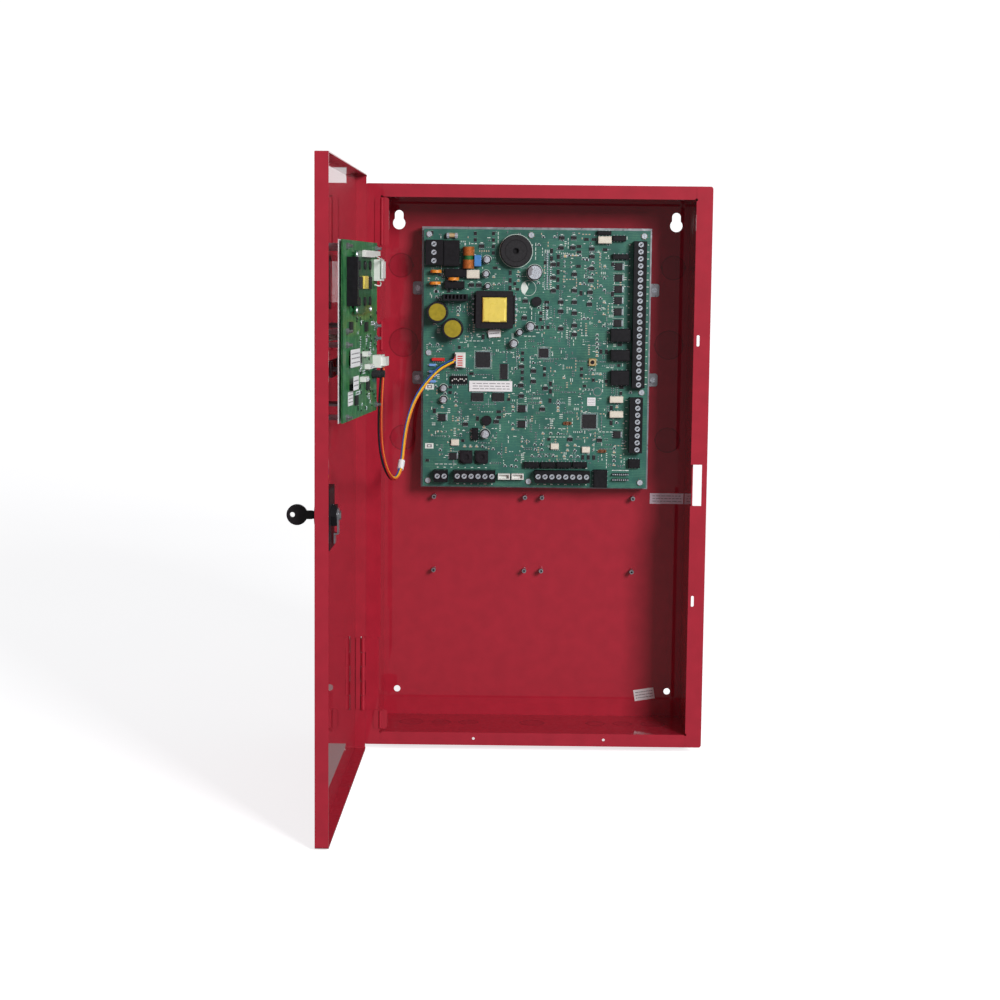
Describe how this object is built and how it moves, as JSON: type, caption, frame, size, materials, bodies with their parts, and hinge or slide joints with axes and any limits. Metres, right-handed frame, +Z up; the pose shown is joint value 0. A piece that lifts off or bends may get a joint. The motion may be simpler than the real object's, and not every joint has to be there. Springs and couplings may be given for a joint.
{
  "type": "fire alarm control panel",
  "caption": "Wall cabinet with a hinged door, a main circuit board with terminal strips, a door-mounted display board and a key lock.",
  "frame": {"origin": "on the wall face of the cabinet's back, at the middle of its width and height", "axes": "+X to the viewer's right, +Y from the viewer into the wall, +Z up; the door swings towards -Y"},
  "size_m": [0.4469, 0.5118, 0.6728],
  "materials": {
    "red_enamel": "gloss",
    "pressed_red": "gloss",
    "zinc_steel": "satin",
    "chrome_lock": "polished",
    "black_plate": "satin",
    "black_key": "gloss",
    "board_green": "solder mask",
    "panel_green": "solder mask",
    "black_plastic": "moulded",
    "chip_black": "moulded",
    "white_plastic": "moulded",
    "cream_plastic": "moulded",
    "ferrite": "sintered",
    "yellow_tape": "tape",
    "green_winding": "enamelled wire",
    "can_sleeve": "heat-shrink sleeve",
    "disc_orange": "dipped",
    "alu_sink": "anodised",
    "tin": "tinned",
    "brass": "turned",
    "red_plastic": "moulded",
    "window_clear": "clear",
    "display_face": "dark display",
    "film": "film",
    "grey_button": "moulded",
    "red_button": "moulded",
    "light_lens": "clear lens",
    "wire_jacket": "jacket",
    "white_sleeve": "tie",
    "blue_block": "moulded"
  },
  "bodies": {
    "cabinet": {"backbox": "red_enamel", "knockouts": "pressed_red", "front_frame": "red_enamel", "flange_straps": "red_enamel", "hinge_frame_leaves": "red_enamel", "hinge_pins": "red_enamel", "chassis_tray": "zinc_steel", "chassis_screws": "zinc_steel", "standoffs": "zinc_steel", "main_board": "board_green", "side_terminal_strips": "black_plastic", "mains_terminal_block": "black_plastic", "low_terminal_blocks": "black_plastic", "terminal_screws": "tin", "transformer_core": "ferrite", "transformer_winding": "yellow_tape", "choke": "ferrite", "sounder": "black_plastic", "capacitor_cans": "can_sleeve", "varistors": "disc_orange", "heatsink": "alu_sink", "inductors": "ferrite", "relay_housings": "black_plastic", "signal_relays": "cream_plastic", "logic_chips": "chip_black", "driver_transistors": "chip_black", "transistor_tabs": "tin", "pin_headers": "black_plastic", "option_switches": "black_plastic", "option_levers": "white_plastic", "test_switch": "brass", "board_connectors": "white_plastic", "small_parts": "tin", "harness_plug": "white_plastic", "harness_wires": "wire_jacket", "harness_sleeve": "white_sleeve"},
    "door": {"hinge_door_leaves": "red_enamel", "door_pan": "red_enamel", "display_window": "window_clear", "status_lights": "light_lens", "lock_bracket": "black_plate", "lock_body": "black_plate", "lock_nut": "black_plate", "display_board": "panel_green", "display_posts": "zinc_steel", "display_nuts": "zinc_steel", "insulator_sheet": "film", "lcd_module": "panel_green", "lcd_glass": "display_face", "display_connectors": "black_plastic", "display_sockets": "white_plastic", "display_chips": "chip_black"},
    "key_plug": {"lock_plug": "chrome_lock", "lock_cam": "zinc_steel", "key": "black_key"},
    "acknowledge_button": {"acknowledge_button": "grey_button"},
    "silence_button": {"silence_button": "grey_button"},
    "drill_button": {"drill_button": "red_button"},
    "reset_button": {"reset_button": "grey_button"},
    "test_button": {"test_button": "white_plastic"}
  },
  "joints": [
    {"name": "door_hinge", "type": "hinge", "parent": "cabinet", "child": "door", "pos_m": [-0.2007, -0.1079, 0], "axis": [0, 0, -1], "range_deg": [-90.85, 19], "deforming": ["harness_wires", "harness_sleeve"]},
    {"name": "lock_turn", "type": "hinge", "parent": "door", "child": "key_plug", "pos_m": [-0.20623, -0.48036, -0.009], "axis": [-0.9999, 0.0148, 0], "range_deg": [0, 90]},
    {"name": "acknowledge_button_press", "type": "slide", "parent": "door", "child": "acknowledge_button", "axis": [0.9999, -0.0148, 0], "range_m": [0, 0.001], "stiffness_N_per_m": 600},
    {"name": "silence_button_press", "type": "slide", "parent": "door", "child": "silence_button", "axis": [0.9999, -0.0148, 0], "range_m": [0, 0.001], "stiffness_N_per_m": 600},
    {"name": "drill_button_press", "type": "slide", "parent": "door", "child": "drill_button", "axis": [0.9999, -0.0148, 0], "range_m": [0, 0.001], "stiffness_N_per_m": 600},
    {"name": "reset_button_press", "type": "slide", "parent": "door", "child": "reset_button", "axis": [0.9999, -0.0148, 0], "range_m": [0, 0.001], "stiffness_N_per_m": 600},
    {"name": "test_button_press", "type": "slide", "parent": "cabinet", "child": "test_button", "axis": [0, 1, 0], "range_m": [0, 0.0003], "stiffness_N_per_m": 800}
  ]
}
